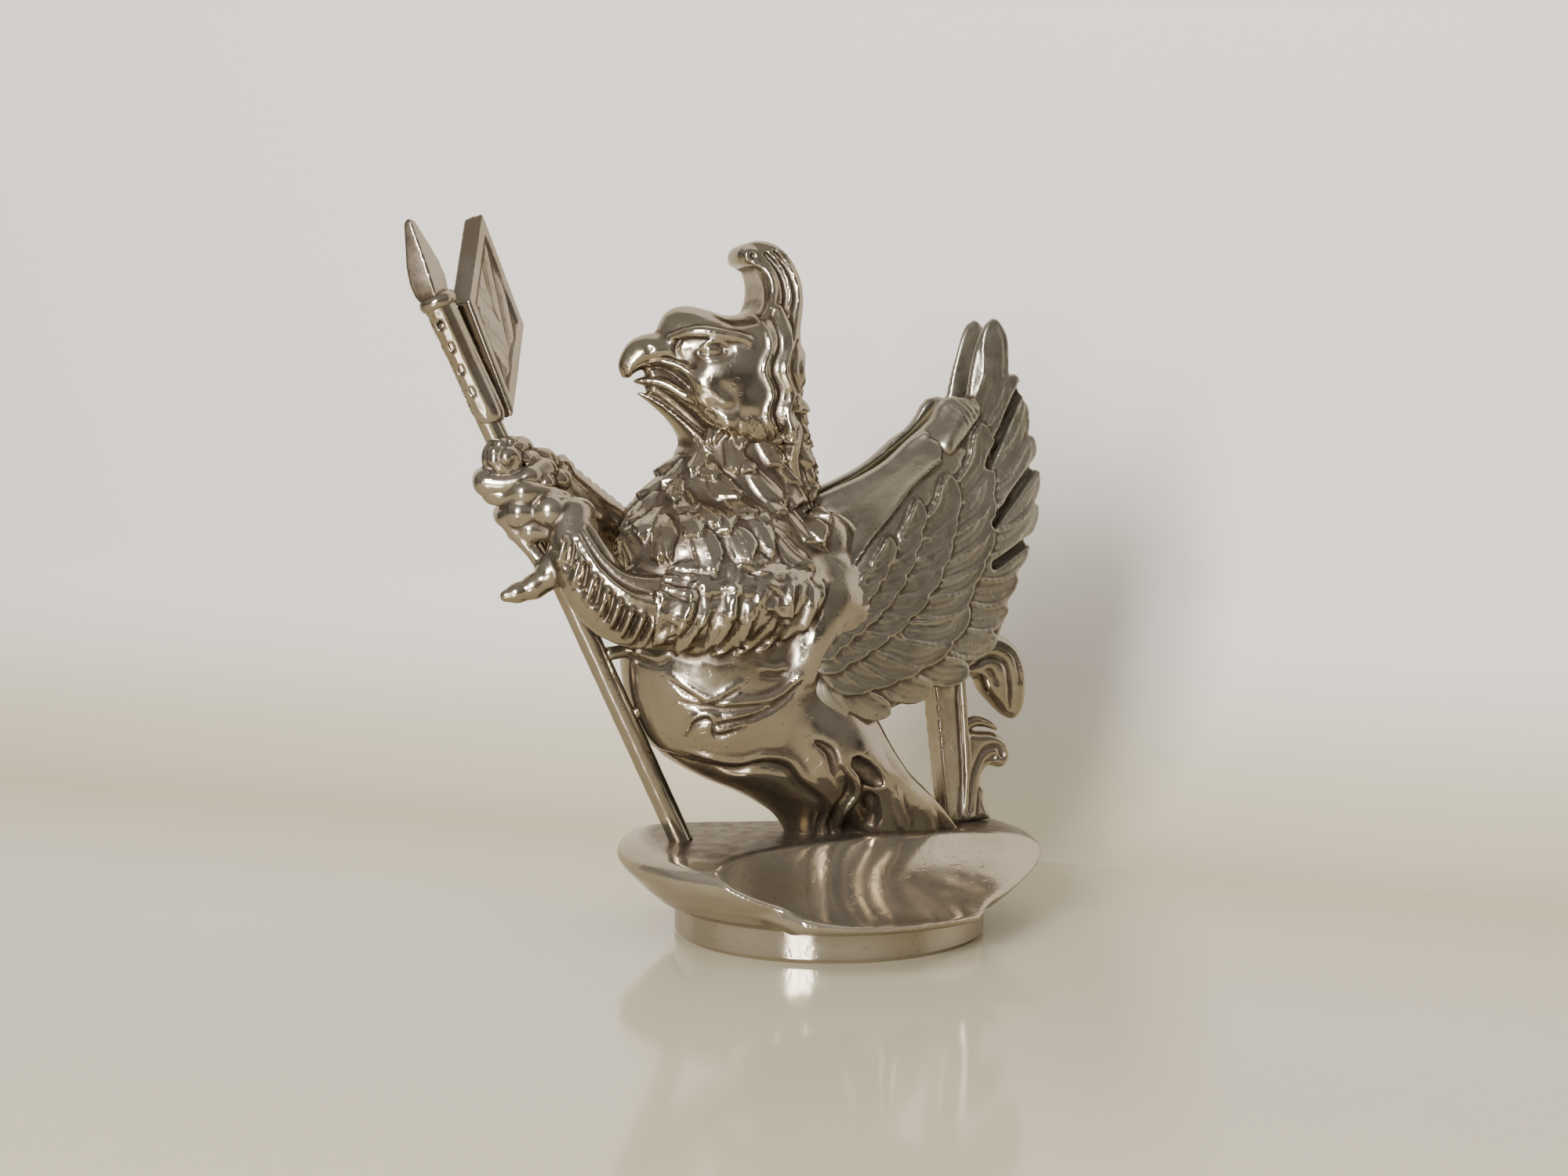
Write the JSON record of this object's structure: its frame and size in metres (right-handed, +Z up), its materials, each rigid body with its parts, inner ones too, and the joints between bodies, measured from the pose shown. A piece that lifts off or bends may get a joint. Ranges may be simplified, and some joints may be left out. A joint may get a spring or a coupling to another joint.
{
  "type": "car radiator cap mascot",
  "caption": "Nickel-plated radiator mascot: a griffin gripping a slanted staff with a plain banner, on a lens-shaped flange that swivels on a round screw cap.",
  "frame": {"origin": "centre of the open bottom of the screw cap, on the axis of its thread", "axes": "+Z up along the cap's axis, the figure faces -X, its left side is -Y"},
  "size_m": [0.0923, 0.0588, 0.1009],
  "materials": {
    "cap_nickel": "polished nickel plate, worn warm, on brass",
    "base_nickel": "polished nickel plate with fine pitting, on brass",
    "figure_nickel": "polished nickel plate, tarnished in the hollows, on cast brass",
    "wing_nickel": "soft-polished nickel plate, tarnished between the feathers, on cast brass",
    "staff_nickel": "polished nickel plate on brass rod",
    "raw_brass": "turned, unplated",
    "zinc_steel": "zinc plated",
    "gasket_rubber": "matt moulded rubber"
  },
  "bodies": {
    "cap": {"cap_shell": "cap_nickel", "thread_ring": "raw_brass", "sealing_washer": "gasket_rubber"},
    "mascot": {"mounting_stud": "zinc_steel", "plain_washer": "zinc_steel", "spring_washer": "zinc_steel", "clamp_nut": "zinc_steel", "base_flange": "base_nickel", "torso": "figure_nickel", "head": "figure_nickel", "crest": "figure_nickel", "left_wing": "wing_nickel", "right_wing": "wing_nickel", "left_foreleg": "figure_nickel", "right_foreleg": "figure_nickel", "tail": "figure_nickel", "staff": "staff_nickel", "banner": "staff_nickel", "collar": "staff_nickel", "finial": "staff_nickel", "staff_ties": "staff_nickel", "figure_screws": "zinc_steel", "locating_pin": "zinc_steel", "tail_screw": "zinc_steel", "neck_dowel": "raw_brass", "crest_pin": "raw_brass", "wing_pins": "raw_brass", "foreleg_dowels": "raw_brass"}
  },
  "joints": [
    {"name": "facing_swivel", "type": "hinge", "parent": "cap", "child": "mascot", "pos_m": [0, 0, 0], "axis": [0, 0, 1], "continuous": true}
  ]
}
